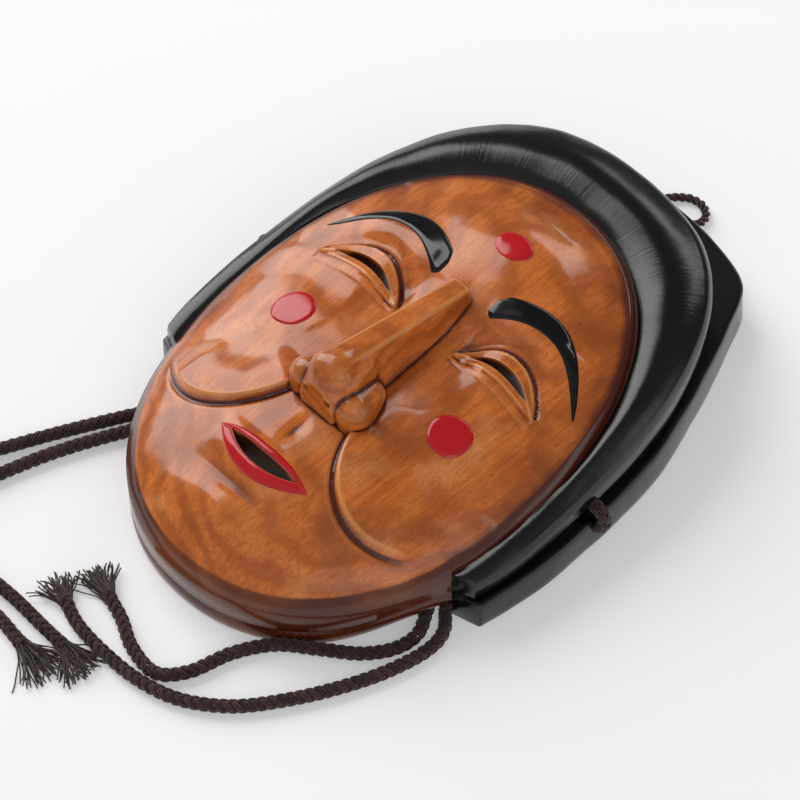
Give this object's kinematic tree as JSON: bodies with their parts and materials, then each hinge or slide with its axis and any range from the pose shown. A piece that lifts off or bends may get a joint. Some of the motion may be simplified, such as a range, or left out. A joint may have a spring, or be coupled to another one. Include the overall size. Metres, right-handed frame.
{
  "type": "carved face mask",
  "caption": "Hollow carved wooden face mask with a lacquered face, a black hair roll, painted brows, lips and spots, braided tie cords and a hanging loop.",
  "frame": {"origin": "on the surface that the mask lies on, at the middle of the wooden body's box", "axes": "+Y from the chin to the top of the head, +Z out of the face, +X towards a viewer's right when the face is upright"},
  "size_m": [0.1711, 0.2939, 0.0619],
  "materials": {
    "stained_wood": "brushed brown stain under gloss lacquer",
    "black_lacquered_wood": "gloss black lacquer over carved wood",
    "black_film": "thick gloss black lacquer",
    "red_film": "thick gloss red lacquer",
    "tie_cord": "round braided yarn, matt",
    "loop_cord": "two-ply twisted cord"
  },
  "bodies": {
    "mask": {"face_shell": "stained_wood", "front_hair": "black_lacquered_wood", "back_hair": "black_lacquered_wood", "left_brow": "black_film", "right_brow": "black_film", "upper_lip": "red_film", "lower_lip": "red_film", "forehead_spot": "red_film", "left_cheek_spot": "red_film", "right_cheek_spot": "red_film", "left_tie_stitch": "tie_cord", "right_tie_stitch": "tie_cord", "left_tie_upper": "tie_cord", "left_tie_lower": "tie_cord", "right_tie_upper": "tie_cord", "right_tie_lower": "tie_cord", "left_upper_tuft": "tie_cord", "left_lower_tuft": "tie_cord", "right_upper_tuft": "tie_cord", "right_lower_tuft": "tie_cord", "loop_legs": "loop_cord", "loop_knot": "loop_cord"},
    "loop": {"hanging_loop": "loop_cord"}
  },
  "joints": [
    {"name": "hanging_loop_swing", "type": "hinge", "parent": "mask", "child": "loop", "pos_m": [0, 0.1124, 0.005], "axis": [1, 0, 0], "range_deg": [0, 90]}
  ]
}
